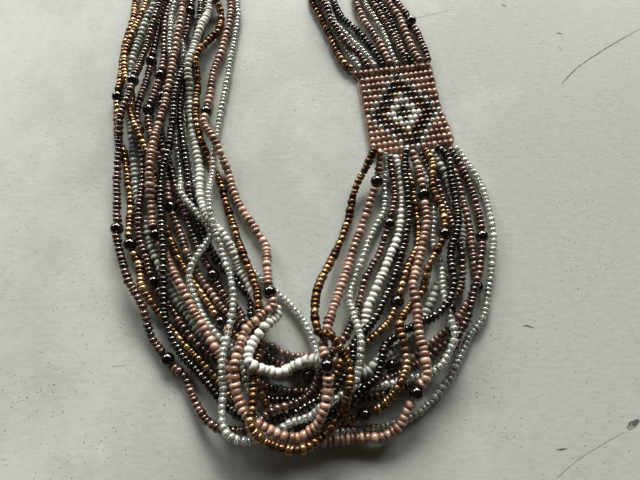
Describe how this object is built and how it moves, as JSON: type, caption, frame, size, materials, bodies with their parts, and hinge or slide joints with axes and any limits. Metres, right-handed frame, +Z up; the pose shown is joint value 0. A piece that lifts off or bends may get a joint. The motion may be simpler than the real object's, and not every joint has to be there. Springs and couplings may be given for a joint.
{
  "type": "bead necklace",
  "caption": "Multi-strand seed bead necklace with a woven bead panel of nested diamonds, laid out flat in an open loop, worn round the neck.",
  "frame": {"origin": "middle of the whole outline, on the surface that the necklace lies on", "axes": "+X to the right and +Y from the bottom of the loop towards the clasp, as worn and seen from the front; +Z up from the surface"},
  "size_m": [0.1272, 0.247, 0.0184],
  "materials": {
    "pink_beads": "satin, opaque glass with a lustre",
    "brown_beads": "glossy, metallic brown glass",
    "white_beads": "satin, pearly opaque glass",
    "clear_beads": "glossy, clear glass with a rainbow coating",
    "gold_beads": "satin, bronze-coated glass",
    "black_beads": "glossy, black glass",
    "panel_beads": "satin, woven glass beads",
    "dark_beads": "mirror-like, dark bronze-coated glass",
    "clasp_metal": "satin"
  },
  "bodies": {
    "root": {"pink_brown": "pink_beads", "brown_inner": "brown_beads", "white_outer": "white_beads", "brown_second": "brown_beads", "clear_outer": "clear_beads", "gold_outer": "gold_beads", "gold_inner": "gold_beads", "clear_middle": "clear_beads", "black_inner": "black_beads", "pink_outer": "pink_beads", "black_outer": "black_beads", "brown_outer": "brown_beads", "gold_loop_left": "gold_beads", "white_loop": "white_beads", "clear_loop": "clear_beads", "pink_loop": "pink_beads", "gold_loop_right": "gold_beads", "woven_panel": "panel_beads", "clasp": "clasp_metal", "dark_bead_1": "dark_beads", "dark_bead_2": "dark_beads", "dark_bead_3": "dark_beads", "dark_bead_4": "dark_beads", "dark_bead_5": "dark_beads", "dark_bead_6": "dark_beads", "dark_bead_7": "dark_beads", "dark_bead_8": "dark_beads", "dark_bead_9": "dark_beads", "dark_bead_10": "dark_beads", "dark_bead_11": "dark_beads", "dark_bead_12": "dark_beads", "dark_bead_13": "dark_beads", "dark_bead_14": "dark_beads", "dark_bead_15": "dark_beads", "dark_bead_16": "dark_beads", "dark_bead_17": "dark_beads", "dark_bead_18": "dark_beads", "dark_bead_19": "dark_beads", "dark_bead_20": "dark_beads", "dark_bead_21": "dark_beads", "dark_bead_22": "dark_beads", "dark_bead_23": "dark_beads", "dark_bead_24": "dark_beads", "dark_bead_25": "dark_beads", "dark_bead_26": "dark_beads", "dark_bead_27": "dark_beads", "dark_bead_28": "dark_beads", "dark_bead_29": "dark_beads", "dark_bead_30": "dark_beads", "dark_bead_31": "dark_beads", "dark_bead_32": "dark_beads"}
  },
  "joints": []
}
